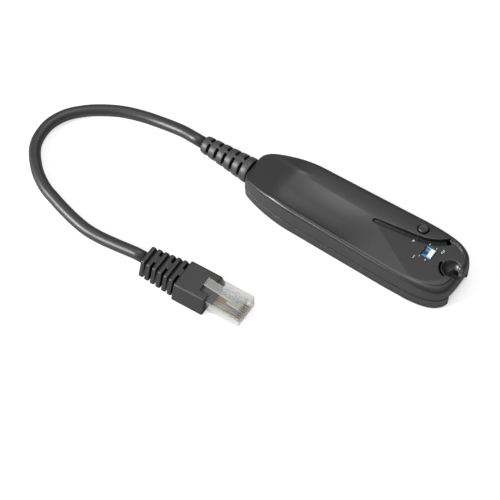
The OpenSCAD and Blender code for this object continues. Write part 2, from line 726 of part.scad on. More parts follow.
// A bar along X with rounded corners, which narrows from w at its base to top_w
module rounded_bar(x0, x1, w, top_w, z0, z1, r) {
    corners = [[w / 2 - r, z0 + r, -90], [top_w / 2 - r, z1 - r, 0],
               [r - top_w / 2, z1 - r, 90], [r - w / 2, z0 + r, 180]];
    translate([x0, 0, 0]) rotate([90, 0, 90]) linear_extrude(x1 - x0)
        polygon([for (c = corners, q = [0 : 15 : 90])
            [c[0] + r * cos(c[2] + q), c[1] + r * sin(c[2] + q)]]);
}
latch_notch_l = 4;
latch_notch_w = 6.6;
boot_r = 1;
boot_lean = boot_w - boot_top_w;
bridge_w = 3.2;
bridge_inset = 0.6;
function plate_w(i) = comb_w - i * comb_taper;
module plug_boot() {
    color([0.17, 0.17, 0.18]) at_plug() difference() {
        union() {
            rounded_bar(0, boot_l, boot_w, boot_top_w, 0, boot_h, boot_r);
            for (i = [0 : comb_n - 1])
                rounded_bar(-(i + 1) * comb_pitch, -(i + 1) * comb_pitch + comb_plate,
                            plate_w(i), plate_w(i) - boot_lean, 0.1, boot_h - 0.1, boot_r);
            // Core that carries the plates
            translate([-comb_l + 1, 0, axis_z]) rotate([0, 90, 0]) cylinder(d = cord_d + 0.9, h = comb_l);
            // Bridges, alternately at the top and bottom and at the sides
            for (i = [0 : comb_n - 1]) {
                x0 = -(i + 1) * comb_pitch + comb_plate - 0.2;
                x1 = -i * comb_pitch + 0.2;
                w = plate_w(i) - 2 * bridge_inset;
                if (i % 2 == 0) translate([x0, -bridge_w / 2, 0.3])
                    cube([x1 - x0, bridge_w, boot_h - 0.6]);
                if (i % 2 == 1) rounded_bar(x0, x1, w, w - boot_lean, 1.3, boot_h - 1.3, bridge_inset);
            }
        }
        // Socket that holds the plug's rear
        translate([plug_x0, -plug_w / 2 - 0.1, plug_z0 - 0.1]) cube([20, plug_w + 0.2, plug_h + 0.2]);
        // Notch over the latch
        translate([boot_l - latch_notch_l, -latch_notch_w / 2, axis_z]) cube([10, latch_notch_w, 10]);
    }
}
contact_n = 8;
contact_pitch = 1.02;
function contact_y(i) = (i - (contact_n - 1) / 2) * contact_pitch;
channel_z = plug_z0 + 1.6;
front_x = plug_x0 + plug_l;
latch_l = 16.4;
latch_t = 0.9;
latch_gap = 0.15;
latch_root_x = front_x - 1.6;
latch_root_w = 6.2;
latch_root_z = plug_z0 + plug_h + latch_gap + latch_t / 2;
module plug_body() {
    color([0.85, 0.9, 0.92, 0.35]) at_plug() difference() {
        union() {
            translate([plug_x0, -plug_w / 2, plug_z0]) cube([plug_l, plug_w, plug_h]);
            // Root of the latch's living hinge
            translate([latch_root_x + 0.1, -latch_root_w / 2, plug_z0 + plug_h - 0.5])
                cube([1, latch_root_w, 0.5 + latch_gap + latch_t]);
        }
        // Channel for the conductors
        translate([plug_x0 - 1, -contact_pitch * contact_n / 2 - 0.5, channel_z])
            cube([plug_l - 1.5, contact_pitch * contact_n + 1, 2.2]);
        // Slots for the contacts, up into the channel
        for (i = [0 : contact_n - 1])
            translate([front_x - 5.2, contact_y(i) - 0.3, plug_z0 - 1])
                cube([6, 0.6, channel_z + 0.1 - plug_z0 + 1]);
    }
}
module plug_contacts() {
    color([0.9, 0.72, 0.3]) at_plug() for (i = [0 : contact_n - 1])
        translate([front_x - 4.8, contact_y(i) - 0.17, plug_z0 + 0.25])
            cube([3.6, 0.34, channel_z - plug_z0 - 0.23]);
}
conductor_d = 0.95;
module plug_wires() {
    color([0.85, 0.5, 0.25]) at_plug() for (i = [0 : contact_n - 1])
        translate([plug_x0 + 0.1, contact_y(i), channel_z + conductor_d / 2 + 0.05])
            rotate([0, 90, 0]) cylinder(d = conductor_d, h = plug_l - 3, $fn = 24);
}
module plug_latch() {
    color([0.85, 0.9, 0.92, 0.35]) at_plug() translate([latch_root_x, 0, latch_root_z])
        rotate([0, -latch_lift, 180]) translate([0, 0, -latch_t / 2]) {
            translate([0, -latch_root_w / 2, 0]) cube([5.4, latch_root_w, latch_t]);
            translate([5.3, -1.7, 0]) cube([latch_l - 5.3, 3.4, latch_t]);
        }
}

// ---- Cord ----
relief_tip = [tail_x - 0.25 - (relief_l - 0.25) * cos(relief_yaw),
              (relief_l - 0.25) * sin(relief_yaw), part_z];
comb_end = plug_spot + [-comb_l * cos(plug_yaw), -comb_l * sin(plug_yaw), axis_z];
route = concat(
    [relief_tip, relief_tip + cord_d * [-cos(relief_yaw), sin(relief_yaw), 0]],
    [[-83, 2, 4.1], [-93.5, 1.5, 2.7], [-101.5, 0, 2.45], [-109, -2.5, 2.45],
     [-115.5, -6, 2.45], [-121.5, -10.5, 2.45], [-127, -17, 2.45], [-129.5, -25.5, 2.45],
     [-127.5, -35.5, 2.45], [-120.5, -44, 2.45], [-112.5, -49.5, 2.45], [-104.5, -52.5, 2.45],
     [-98, -54.5, 2.45], [-92, -56, 2.45], [-86, -57, 2.45], [-79.5, -57.1, 2.5],
     [-72, -56.7, 3.1]],
    [comb_end - cord_d * [cos(plug_yaw), sin(plug_yaw), 0], comb_end]);
cord_sides = 10;
cord_steps = 3;
function curve(a, b, c, d, t) = 0.5 * (2 * b + (c - a) * t + (2 * a - 5 * b + 4 * c - d) * t * t
    + (3 * b - a - 3 * c + d) * t * t * t);
function along_route() = concat(
    [route[0]],
    [for (i = [1 : len(route) - 3], j = [0 : cord_steps - 1])
        curve(route[i - 1], route[i], route[i + 1], route[i + 2], j / cord_steps)],
    [route[len(route) - 2], route[len(route) - 1]]);
module cord() {
    path = along_route();
    m = len(path);
    function heading(i) = let (v = path[min(m - 1, i + 1)] - path[max(0, i - 1)]) v / norm(v);
    function end_heading(i) = i <= 1 ? path[1] - path[0] : path[m - 1] - path[m - 2];
    function dir(i) = let (v = (i <= 1 || i >= m - 2) ? end_heading(i) : heading(i)) v / norm(v);
    function ring_at(i) = let (
        t = dir(i),
        u = cross([0, 0, 1], t) / norm(cross([0, 0, 1], t)),
        w = cross(t, u))
        [for (k = [0 : cord_sides - 1]) let (q = 360 * k / cord_sides)
            path[i] + cord_d / 2 * (cos(q) * u + sin(q) * w)];
    pts = [for (i = [0 : m - 1]) each ring_at(i)];
    color([0.14, 0.14, 0.15]) polyhedron(
        points = pts,
        faces = concat(
            [[for (k = [0 : cord_sides - 1]) k]],
            [for (i = [0 : m - 2], k = [0 : cord_sides - 1])
                let (a = i * cord_sides + k, b = i * cord_sides + (k + 1) % cord_sides)
                each [[a, b + cord_sides, b], [a, a + cord_sides, b + cord_sides]]],
            [[for (k = [cord_sides - 1 : -1 : 0]) (m - 1) * cord_sides + k]]),
        convexity = 10);
}

bottom_cover();
top_cover();
housing_screws();
circuit_board();
microcontroller();
memory_chip();
line_driver();
regulator();
crystal();
capacitors();
lead_header();
lead_wires();
button_switch();
switch_plunger();
start_button();
selector_switch();
selector_knob();
cord_relief();
cord();
plug_boot();
plug_body();
plug_latch();
plug_contacts();
plug_wires();
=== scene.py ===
import math
import bpy
import bmesh
from mathutils import Matrix, Vector


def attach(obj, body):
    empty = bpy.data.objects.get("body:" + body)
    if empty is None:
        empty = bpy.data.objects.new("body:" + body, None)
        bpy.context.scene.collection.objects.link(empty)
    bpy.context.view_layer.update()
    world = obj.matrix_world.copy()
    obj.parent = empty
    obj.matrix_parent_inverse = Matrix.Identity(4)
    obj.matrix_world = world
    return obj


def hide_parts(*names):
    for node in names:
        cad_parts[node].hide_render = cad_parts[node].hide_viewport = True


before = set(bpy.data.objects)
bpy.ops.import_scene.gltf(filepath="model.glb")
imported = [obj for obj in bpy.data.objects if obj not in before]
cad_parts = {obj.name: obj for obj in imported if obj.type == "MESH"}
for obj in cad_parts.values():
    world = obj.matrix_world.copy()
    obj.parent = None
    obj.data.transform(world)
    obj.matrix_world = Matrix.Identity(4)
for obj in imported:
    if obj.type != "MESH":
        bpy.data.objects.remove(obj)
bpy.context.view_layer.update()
scene = bpy.context.scene

# X runs to the nose, Y to the far side and Z up from the table. The cord and the floor are made in
# metres. Other pieces are made in millimetres, and finish_piece brings them into metres.
# Angles among the sizes are in degrees.
MM = 0.001

# ---------------------------------------------------------------- camera
sensor_w = 36.0
lens = 139.68
clip_start, clip_end = 0.05, 5.0
camera_place = Vector((206.16, -377.42, 617.40))
camera_right = Vector((0.8290, 0.5592, 0.0))
camera_back = Vector((0.3151, -0.4672, 0.8261))


def add_camera():
    data = bpy.data.cameras.new("camera")
    data.sensor_width = sensor_w
    data.lens = lens
    data.clip_start = clip_start
    data.clip_end = clip_end
    camera = bpy.data.objects.new("camera", data)
    scene.collection.objects.link(camera)
    axes = Matrix((camera_right, camera_back.cross(camera_right), camera_back))
    camera.matrix_world = Matrix.Translation(camera_place * MM) @ axes.transposed().to_4x4()
    scene.camera = camera


add_camera()

# ---------------------------------------------------------------- cord
cord_d = 4.9
cord_sides = 32
cord_steps = 8
tip = (-70.481, 0.925, 5.5)
comb_end = (-58.072, -55.915, 4)
route = [
    tip, (-75.378, 1.122, 5.5), (-83, 2, 4.1), (-93.5, 1.5, 2.7), (-101.5, 0, 2.45), (-109, -2.5, 2.45),
    (-115.5, -6, 2.45), (-121.5, -10.5, 2.45), (-127, -17, 2.45), (-129.5, -25.5, 2.45),
    (-127.5, -35.5, 2.45), (-120.5, -44, 2.45), (-112.5, -49.5, 2.45), (-104.5, -52.5, 2.45),
    (-98, -54.5, 2.45), (-92, -56, 2.45), (-86, -57, 2.45), (-79.5, -57.1, 2.5),
    (-72, -56.7, 3.1), (-62.97, -56.069, 4), comb_end]


def spline_points(pts, steps):
    """The same even curve through the points that the cord's solid follows."""
    out = [pts[0]]
    for i in range(1, len(pts) - 2):
        a, b, c, d = pts[i - 1], pts[i], pts[i + 1], pts[i + 2]
        for j in range(steps):
            t = j / steps
            out.append(0.5 * (2 * b + (c - a) * t + (2 * a - 5 * b + 4 * c - d) * t ** 2
                              + (3 * b - a - 3 * c + d) * t ** 3))
    return out + [pts[-2], pts[-1]]


def new_object(name, mesh):
    obj = bpy.data.objects.new(name, mesh)
    scene.collection.objects.link(obj)
    return obj


def ring_faces(count, n):
    """The faces between each ring of n points and the next one, for count rings in a row."""
    return [(k * n + i, k * n + (i + 1) % n, (k + 1) * n + (i + 1) % n, (k + 1) * n + i)
            for k in range(count - 1) for i in range(n)]


def tube(name, pts, radius, sides):
    """A closed round tube along the points."""
    verts = []
    last = len(pts) - 1
    for i, p in enumerate(pts):
        along = (pts[min(last, i + 1)] - pts[max(0, i - 1)]).normalized()
        across = Vector((0, 0, 1)).cross(along).normalized()
        upward = along.cross(across)
        for k in range(sides):
            q = 2 * math.pi * k / sides
            verts.append(p + radius * (math.cos(q) * across + math.sin(q) * upward))
    ends = [tuple(range(sides - 1, -1, -1)), tuple(last * sides + k for k in range(sides))]
    mesh = bpy.data.meshes.new(name)
    mesh.from_pydata([tuple(v) for v in verts], [], ring_faces(len(pts), sides) + ends)
    for f in mesh.polygons:
        f.use_smooth = len(f.vertices) == 4
    return new_object(name, mesh)


cord_line = spline_points([Vector(p) * MM for p in route], cord_steps)
jacket = tube("cord_jacket", cord_line, cord_d / 2 * MM, cord_sides)
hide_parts("cord")

# ---------------------------------------------------------------- helpers, in millimetres


def tan(angle):
    return math.tan(math.radians(angle))


def smooth_step(a, b, x):
    t = min(1.0, max(0.0, (x - a) / (b - a)))
    return t * t * (3 - 2 * t)


def soft_min(a, b, k):
    """The lower of two heights, blended over k where they meet."""
    h = max(k - abs(a - b), 0.0) / k
    return min(a, b) - h * h * k / 4


def rot(x=0, y=0, z=0):
    """Turns about X, then Y, then Z."""
    r = math.radians
    return (Matrix.Rotation(r(z), 4, "Z") @ Matrix.Rotation(r(y), 4, "Y")
            @ Matrix.Rotation(r(x), 4, "X"))


def move(x, y, z):
    return Matrix.Translation((x, y, z))


def part(name, verts, faces, matrix=None):
    mesh = bpy.data.meshes.new(name)
    mesh.from_pydata([tuple(v) for v in verts], [], faces)
    if matrix is not None:
        mesh.transform(matrix)
    bm = bmesh.new()
    bm.from_mesh(mesh)
    bmesh.ops.recalc_face_normals(bm, faces=bm.faces)
    bm.to_mesh(mesh)
    bm.free()
    return new_object(name, mesh)


def loft(name, rings, matrix=None):
    """A closed solid through rings that have equally many points."""
    n = len(rings[0])
    last = (len(rings) - 1) * n
    verts = [p for ring in rings for p in ring]
    ends = [tuple(range(n)), tuple(last + i for i in range(n))]
    return part(name, verts, ring_faces(len(rings), n) + ends, matrix)


def prism(points, z0, z1, matrix=None):
    """A flat outline raised from z0 to z1."""
    n = len(points)
    verts = [(x, y, z) for z in (z0, z1) for x, y in points]
    ends = [tuple(range(n - 1, -1, -1)), tuple(range(n, 2 * n))]
    return part("cutter", verts, ends + ring_faces(2, n), matrix)


def rect(x0, y0, x1, y1):
    return [(x0, y0), (x1, y0), (x1, y1), (x0, y1)]


def centred(x, y, l, w):
    """A rectangle about (x, y)."""
    return rect(x - l / 2, y - w / 2, x + l / 2, y + w / 2)


def disc(x, y, r, n=96):
    turns = [2 * math.pi * i / n for i in range(n)]
    return [(x + r * math.cos(q), y + r * math.sin(q)) for q in turns]


def arc(x, y, r, q0, q1, n=40):
    turns = [math.radians(q0 + (q1 - q0) * i / n) for i in range(n + 1)]
    return [(x + r * math.cos(q), y + r * math.sin(q)) for q in turns]


def arc_strip(x, y, r0, r1, q0, q1):
    """The band between two arcs about (x, y)."""
    return arc(x, y, r1, q0, q1) + arc(x, y, r0, q0, q1)[::-1]


def rod_x(x0, x1, y, z, r, matrix=Matrix.Identity(4), n=96):
    """A round rod along X."""
    return prism(disc(0, 0, r, n), x0, x1, matrix @ move(0, y, z) @ rot(y=90))


def ball(x, y, z, r):
    bm = bmesh.new()
    bmesh.ops.create_uvsphere(bm, u_segments=72, v_segments=36, radius=r)
    mesh = bpy.data.meshes.new("cutter")
    bm.to_mesh(mesh)
    bm.free()
    mesh.transform(move(x, y, z))
    return new_object("cutter", mesh)


def join(objs, name):
    """All the objects' meshes as one object."""
    bm = bmesh.new()
    for o in objs:
        bm.from_mesh(o.data)
    mesh = bpy.data.meshes.new(name)
    bm.to_mesh(mesh)
    bm.free()
    for o in objs:
        bpy.data.objects.remove(o)
    return new_object(name, mesh)


def apply_modifiers(obj):
    deps = bpy.context.evaluated_depsgraph_get()
    done = bpy.data.meshes.new_from_object(obj.evaluated_get(deps))
    obj.modifiers.clear()
    obj.data = done


def combine(obj, other, operation="DIFFERENCE"):
    """Cuts, adds or intersects the other solid, which is used up."""
    mod = obj.modifiers.new("combine", "BOOLEAN")
    mod.operation = operation
    mod.object = other
    mod.solver = "EXACT"
    apply_modifiers(obj)
    bpy.data.objects.remove(other)
    return obj


def remesh(obj, voxel, smoothings=2):
    """Softens every edge by about the size of a voxel."""
    mod = obj.modifiers.new("remesh", "REMESH")
    mod.mode = "VOXEL"
    mod.voxel_size = voxel
    mod.use_smooth_shade = True
    mod = obj.modifiers.new("smooth", "SMOOTH")
    mod.iterations = smoothings
    mod.factor = 0.5
    apply_modifiers(obj)


def finish_piece(obj, body, material, *nodes):
    """Brings a piece made in millimetres into the row frame, and gives it its place."""
    obj.data.transform(Matrix.Scale(MM, 4))
    obj.data.materials.clear()
    obj.data.materials.append(material)
    for f in obj.data.polygons:
        f.use_smooth = True
    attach(obj, body)
    if nodes:
        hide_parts(*nodes)
    return obj


# ---------------------------------------------------------------- materials
# Painted shade in grooves and corners: how open a spot is, from buried to free, and the share of the
# shine that is left when buried
gap_buried, gap_free, gap_shine = 0.42, 0.88, 0.06
grain_detail = 3.0
clear_rough, clear_tint = 0.12, (0.95, 0.95, 0.945, 1)
slant_blend, slant_share = 0.35, 0.75


def math_node(tree, operation, *values):
    """A Math node's output. Each value is a number or another node's output."""
    node = tree.nodes.new("ShaderNodeMath")
    node.operation = operation
    for socket, value in zip(node.inputs, values):
        if isinstance(value, bpy.types.NodeSocket):
            tree.links.new(value, socket)
        else:
            socket.default_value = value
    return node.outputs[0]


def add_grain(tree, skin, depth, size):
    """A fine texture of that depth and size, in millimetres."""
    bump = tree.nodes.new("ShaderNodeBump")
    bump.inputs["Strength"].default_value = 1.0
    bump.inputs["Distance"].default_value = depth * MM
    where = tree.nodes.new("ShaderNodeTexCoord")
    noise = tree.nodes.new("ShaderNodeTexNoise")
    noise.inputs["Scale"].default_value = 1 / (size * MM)
    noise.inputs["Detail"].default_value = grain_detail
    tree.links.new(where.outputs["Object"], noise.inputs["Vector"])
    tree.links.new(noise.outputs["Fac"], bump.inputs["Height"])
    tree.links.new(bump.outputs["Normal"], skin.inputs["Normal"])


def paint_gap_shade(tree, skin, spec, reach):
    """Painted shade: grooves and corners narrower than the reach, in millimetres, shine less."""
    around = tree.nodes.new("ShaderNodeAmbientOcclusion")
    around.samples = 6
    around.inputs["Distance"].default_value = reach * MM
    shine = tree.nodes.new("ShaderNodeMapRange")
    shine.inputs["From Min"].default_value = gap_buried
    shine.inputs["From Max"].default_value = gap_free
    shine.inputs["To Min"].default_value = spec * gap_shine
    shine.inputs["To Max"].default_value = spec
    tree.links.new(around.outputs["AO"], shine.inputs["Value"])
    tree.links.new(shine.outputs["Result"], skin.inputs["Specular IOR Level"])


def material(name, color, rough, spec=0.5, grain=0.0, grain_size=0.5, metal=0.0, reach=0.0):
    mat = bpy.data.materials.new(name)
    mat.use_nodes = True
    tree = mat.node_tree
    skin = tree.nodes["Principled BSDF"]
    skin.inputs["Base Color"].default_value = (*color, 1)
    skin.inputs["Roughness"].default_value = rough
    skin.inputs["Specular IOR Level"].default_value = spec
    skin.inputs["Metallic"].default_value = metal
    if grain:
        add_grain(tree, skin, grain, grain_size)
    # A reach paints shade into the grooves and corners, by dimming their shine
    if reach:
        paint_gap_shade(tree, skin, spec, reach)
    return mat


def clear_plastic(name, color, least):
    """Plastic that is seen through, less so at a slant. Its own colour has at least the given share."""
    mat = bpy.data.materials.new(name)
    mat.use_nodes = True
    tree = mat.node_tree
    skin = tree.nodes["Principled BSDF"]
    skin.inputs["Base Color"].default_value = (*color, 1)
    skin.inputs["Roughness"].default_value = clear_rough
    through = tree.nodes.new("ShaderNodeBsdfTransparent")
    through.inputs["Color"].default_value = clear_tint
    slant = tree.nodes.new("ShaderNodeLayerWeight")
    slant.inputs["Blend"].default_value = slant_blend
    mix = tree.nodes.new("ShaderNodeMixShader")
    share = math_node(tree, "MULTIPLY_ADD", slant.outputs["Facing"], slant_share, least)
    tree.links.new(share, mix.inputs["Fac"])
    tree.links.new(through.outputs[0], mix.inputs[1])
    tree.links.new(skin.outputs[0], mix.inputs[2])
    tree.links.new(mix.outputs[0], tree.nodes["Material Output"].inputs["Surface"])
    return mat


# Where a material has a reach, painted shade dims the shine in its grooves and corners
housing_black = material("housing_black", (0.014, 0.014, 0.015), 0.33, 0.9, 0.008, 0.35, reach=2.5)
relief_black = material("relief_black", (0.038, 0.038, 0.039), 0.48, 0.9, 0.010, 0.4, reach=1.5)
jacket_grey = material("jacket_grey", (0.016, 0.016, 0.018), 0.42, 0.9)
boot_black = material("boot_black", (0.012, 0.012, 0.013), 0.42, 0.8, 0.008, 0.4, reach=1.5)
button_black = material("button_black", (0.014, 0.014, 0.015), 0.50, 0.9, reach=1.2)
blue_plastic = material("blue_plastic", (0.190, 0.450, 0.730), 0.35)
white_plastic = material("white_plastic", (0.88, 0.91, 0.93), 0.35)
print_white = material("print_white", (0.80, 0.82, 0.84), 0.5)
gold = material("gold", (0.82, 0.72, 0.50), 0.38, metal=1.0)
steel = material("steel", (0.55, 0.56, 0.58), 0.3, metal=1.0)
board_green = material("board_green", (0.02, 0.14, 0.06), 0.35)
chip_black = material("chip_black", (0.02, 0.02, 0.02), 0.5)
tan_ceramic = material("tan_ceramic", (0.42, 0.30, 0.16), 0.5)
nylon = material("nylon", (0.80, 0.76, 0.62), 0.45)
# The conductors in their order across the plug, from its near side
wire_colors = {
    "brown": (0.50, 0.45, 0.22), "white_brown": (0.62, 0.63, 0.64), "blue": (0.50, 0.54, 0.62),
    "orange": (0.78, 0.34, 0.28), "green": (0.54, 0.61, 0.40), "white_green": (0.74, 0.76, 0.70),
    "white_blue": (0.50, 0.53, 0.64), "white_orange": (0.74, 0.71, 0.68)}
wire_mats = [material("wire_" + k, c, 0.4) for k, c in wire_colors.items()]
shell_clear = clear_plastic("clear_plastic", (0.60, 0.60, 0.59), 0.04)
# The latch's copy of the clear plastic is paler and less clear: painted light, for the light that it
# scatters
latch_painted_light = clear_plastic("latch_plastic_painted_light", (0.78, 0.78, 0.77), 0.12)

jacket.data.materials.append(jacket_grey)
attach(jacket, "housing")

# ---------------------------------------------------------------- housing sizes, as in the part's source
body_l, body_w, waist_w = 94.4, 29.2, 26.4
tail_flat_w, tail_l, tail_curve_r = 6.8, 28, 69
nose_l, nose_power, nose_stop = 24, 3.7, 88
corner_l, corner_gap = 3, 2.2
part_z, wall, roof_t, draft = 5.5, 1.8, 2.0, 0.3
ridge_z, ridge_fall, ridge_inset = 13.4, 1.4, 1.5
wing_fall, panel_sag = 2.6, 0.6
tail_z, ramp_slope = 10.8, 11.3
droop_start, droop_r = 23.5, 140
shoulder_k, shoulder_y = 1.8, 3
edge_r, nose_edge_r, base_r = 1.5, 2.4, 1.0
tail_x, tip_x = -body_l / 2, body_l / 2
waist_x, nose_x, droop_x = tail_x + tail_l, tip_x - nose_l, tip_x - droop_start
# The far ridge bends over this length at the tail, then runs to the pocket's corner
ridge_bend_l, far_ridge_tail_y, far_ridge_mid_y = 21, 8.3, 4.4
ridge_bend_x = tail_x + ridge_bend_l
# Label pocket, with its floor's falls, and the groove along its far side
pocket_x, pocket_y, pocket_fall_x, pocket_fall_y = tip_x - 39.75, 3.4, 3.4, 3.5
rim_w, groove_w, groove_d, groove_r = 2.3, 2.0, 0.8, 17
groove_len, groove_heading, groove_turn = 17.5, 8, 42
# Lanyard hole and the dish about it, with a saddle to the nose and a slot round its tail side
lanyard_x, lanyard_y, lanyard_d = tip_x - 3.6, 0.9, 3.2
dish_r, dish_d, saddle_r, saddle_drop, saddle_l = 4, 3.2, 3.2, 0.3, 12
slot_gap, slot_w, slot_d, slot_h, slot_from, slot_to = 0.3, 0.8, 3, 6, 172, 260
# Openings for the start button and the selector
button_x, button_y, button_hole_r = tip_x - 22.5, 9.5, 2.3
selector_x, selector_y, window_l, window_w = tip_x - 15.5, 1.9, 4.3, 5
# Inside: screw bosses, board pillars, the wall's lip and the solid nose
screw_xs = (tail_x + 24.75, tail_x + 59.75)
boss_r, pilot_r, pilot_top, screw_hole_r, screw_head_r, screw_seat = 2.8, 1.03, 10.7, 1.15, 2.1, 2.4
board_z, post_z = 6.3, 7.9
pillar_r, pillars = 1.5, ((-29.8, 5.55), (32.2, 8.05))
cavity_inset, lip_gap, lip_t, lip_h, lip_root, band_lap = wall + draft, 0.1, 0.8, 1, 2, 0.3
nose_block_x = tip_x - 10.5
wing_drop = (body_w / 2 - cavity_inset - pocket_y) * tan(wing_fall)
# The bottom cover's cut under the nose, and the cord's way in
notch_l, notch_w = 6, 14.4
neck_r, neck_hole_r, flange_r, flange_hole_r, flange_t, flange_gap = 3, 3.1, 3.5, 3.7, 2, 0.1
hole_x0, flange_hole_l = tail_x + cavity_inset, 6
flange_x = hole_x0 + flange_gap
# Cutters reach past the housing to these, and stand this high over the pocket's floor
beyond, low, above, high = 60, -5, 20, 30
cut_h, tail_reach, wing_reach = 12, 10, 40
# A height that sets no limit, and how far solids reach into each other where they meet
no_limit, overlap = 99, 0.1

# ---------------------------------------------------------------- housing sizes of the looks alone
# A span is where something starts and ends: along X, or from a ridge toward the rim or the panel
hollow_at_tail, hollow_span, hollow_fade = 0.3, (-32, -8), (pocket_x - 14, pocket_x + 6)
crease_d, crease_rise, crease_fall, crease_fade = 0.2, (0, 0.7), (0.9, 8), (pocket_x - 12, pocket_x - 2)
crest_h, crest_rise, crest_fall, crest_fade = 0.3, (0, 1.8), (2.2, 6), (-33, -22)
wing_curve, wing_lift = 0.0084, 0.03
ramp_blend, shoulder_least, droop_blend = 0.5, 0.12, 0.05
edge_span = (nose_x + 5, tip_x - 3)
seam_inset, seam_h, seam_lip, hair = 0.5, 0.3, 0.1, 0.01
# The label face lies this much deeper than in the part's source
face_drop = 0.1
# In the grid over the top, the ridge's column stays inside this share of the far rim
ridge_limit = 0.9
# Counts of points and rows
edge_steps, base_steps, ceiling_n = 8, 6, 12
corner_n, tail_n, side_n, nose_n = 10, 24, 14, 64
rows_near, rows_far = 50, 26
housing_voxel = 0.18

# ---------------------------------------------------------------- housing outline


def tail_half(x, d):
    """Half the width at the tail's curve, inset by d."""
    return waist_w / 2 - tail_curve_r + math.sqrt((tail_curve_r - d) ** 2 - (waist_x - x) ** 2)


def side(d):
    """The far half of the outline, inset by d: the tail's corner and curve, the side and the nose."""
    x0 = tail_x + d
    x1 = x0 + corner_l
    y1 = tail_half(x1, d)
    lean = math.tan(math.asin((waist_x - x1) / (tail_curve_r - d)))
    start = (x0, min(tail_flat_w / 2, y1 - corner_gap))
    bend = (x0, y1 - corner_l * lean)
    pts = []
    for i in range(corner_n):
        t = i / corner_n
        pts.append(tuple((1 - t) ** 2 * s + 2 * t * (1 - t) * c + t * t * e
                         for s, c, e in zip(start, bend, (x1, y1))))
    for i in range(tail_n):
        x = x1 + (waist_x - x1) * i / tail_n
        pts.append((x, tail_half(x, d)))
    reach, half = nose_l - d, body_w / 2 - d
    for i in range(side_n):
        t = i / side_n
        pts.append((waist_x + (nose_x - waist_x) * t, (waist_w / 2 - d) * (1 - t) + half * t))
    power = 2 / nose_power
    for i in range(nose_n + 1):
        q = math.radians(nose_stop * i / nose_n)
        pts.append((nose_x + reach * math.sin(q) ** power, half * math.cos(q) ** power))
    return pts


def outline(d):
    far = side(d)
    return [(x, -y) for x, y in far] + far[::-1]


def half_width(x):
    if x < waist_x:
        return tail_half(x, 0)
    return min(body_w, waist_w + (body_w - waist_w) * (x - waist_x) / (nose_x - waist_x)) / 2


# ---------------------------------------------------------------- housing top


def ridge_height(x):
    return ridge_z - x * tan(ridge_fall)


def far_ridge_y(x):
    if x < ridge_bend_x:
        bent = (ridge_bend_x - x) / ridge_bend_l
        return far_ridge_mid_y + (far_ridge_tail_y - far_ridge_mid_y) * bent ** 2
    return max(pocket_y, far_ridge_mid_y
               - (far_ridge_mid_y - pocket_y) * (x - ridge_bend_x) / (pocket_x - ridge_bend_x))


def near_ridge_y(x):
    return ridge_inset - half_width(x)


def sag(x):
    """How deep the hollow between the ridges is: shallow at the tail, and gone at the pocket."""
    grown = hollow_at_tail + (1 - hollow_at_tail) * smooth_step(*hollow_span, x)
    return panel_sag * grown * (1 - smooth_step(*hollow_fade, x))


def ramp(x):
    return tail_z + (x - tail_x) * tan(ramp_slope)


def droop(x):
    """The nose's fall, which sets no limit further back."""
    return no_limit if x < droop_x else ridge_height(droop_x) - (x - droop_x) ** 2 / (2 * droop_r)


def panel_z(x, y):
    """The hollow between the ridges, with a shallow crease inside the near one."""
    far_y, near_y = far_ridge_y(x), near_ridge_y(x)
    across = (2 * y - far_y - near_y) / (far_y - near_y)
    crease = crease_d * smooth_step(*crease_rise, y - near_y)
    crease *= 1 - smooth_step(*crease_fall, y - near_y)
    crease *= 1 - smooth_step(*crease_fade, x)
    hollow = ridge_height(x) - sag(x) * max(0.0, 1 - across * across)
    return soft_min(ramp(x), hollow, ramp_blend) - crease


def wing_z(x, out):
    """The wing at a distance out from the far ridge, with a low crest beside the ridge at the tail."""
    shoulder = shoulder_k * min(1.0, out / shoulder_y)
    crest = smooth_step(*crest_rise, out) * (1 - smooth_step(*crest_fall, out))
    crest *= 1 - smooth_step(*crest_fade, x)
    fall = wing_curve * out * out - wing_lift * out - crest_h * crest
    return soft_min(ridge_height(x), ramp(x), max(shoulder_least, shoulder)) - fall


def top_height(x, y):
    out = y - far_ridge_y(x)
    return soft_min(wing_z(x, out) if out > 0 else panel_z(x, y), droop(x), droop_blend)


def edge_radius(x):
    return edge_r + (nose_edge_r - edge_r) * smooth_step(*edge_span, x)


def ceiling_z(x):
    """The top of the hollow inside."""
    return min(ridge_height(x) - max(sag(x), wing_drop), ramp(x), droop(x)) - roof_t


pocket_z = ridge_height(pocket_x)
dish_x, dish_y = lanyard_x - 1, lanyard_y
dish_z = droop(dish_x) - dish_d + dish_r

# ---------------------------------------------------------------- top cover


def wall_rings():
    """The top cover's side in rings: the seam's step, then the wall's top, rounded over."""
    seam = ((seam_inset, part_z), (seam_inset, part_z + seam_h), (hair, part_z + seam_h + hair))
    rings = [[(x, y, z) for x, y in outline(d)] for d, z in seam]
    base = outline(draft)
    for k in range(edge_steps + 1):
        q = math.radians(90 * k / edge_steps)
        # The radius changes along the rim, so each inset outline is worked out once and kept
        insets = {}
        ring = []
        for i, (x, y) in enumerate(base):
            r = edge_radius(x)
            d = round(draft + r * (1 - math.cos(q)), 3)
            if d not in insets:
                insets[d] = outline(d)
            px, py = insets[d][i]
            ring.append((px, py, top_height(x, y) - r * (1 - math.sin(q))))
        rings.append(ring)
    return rings


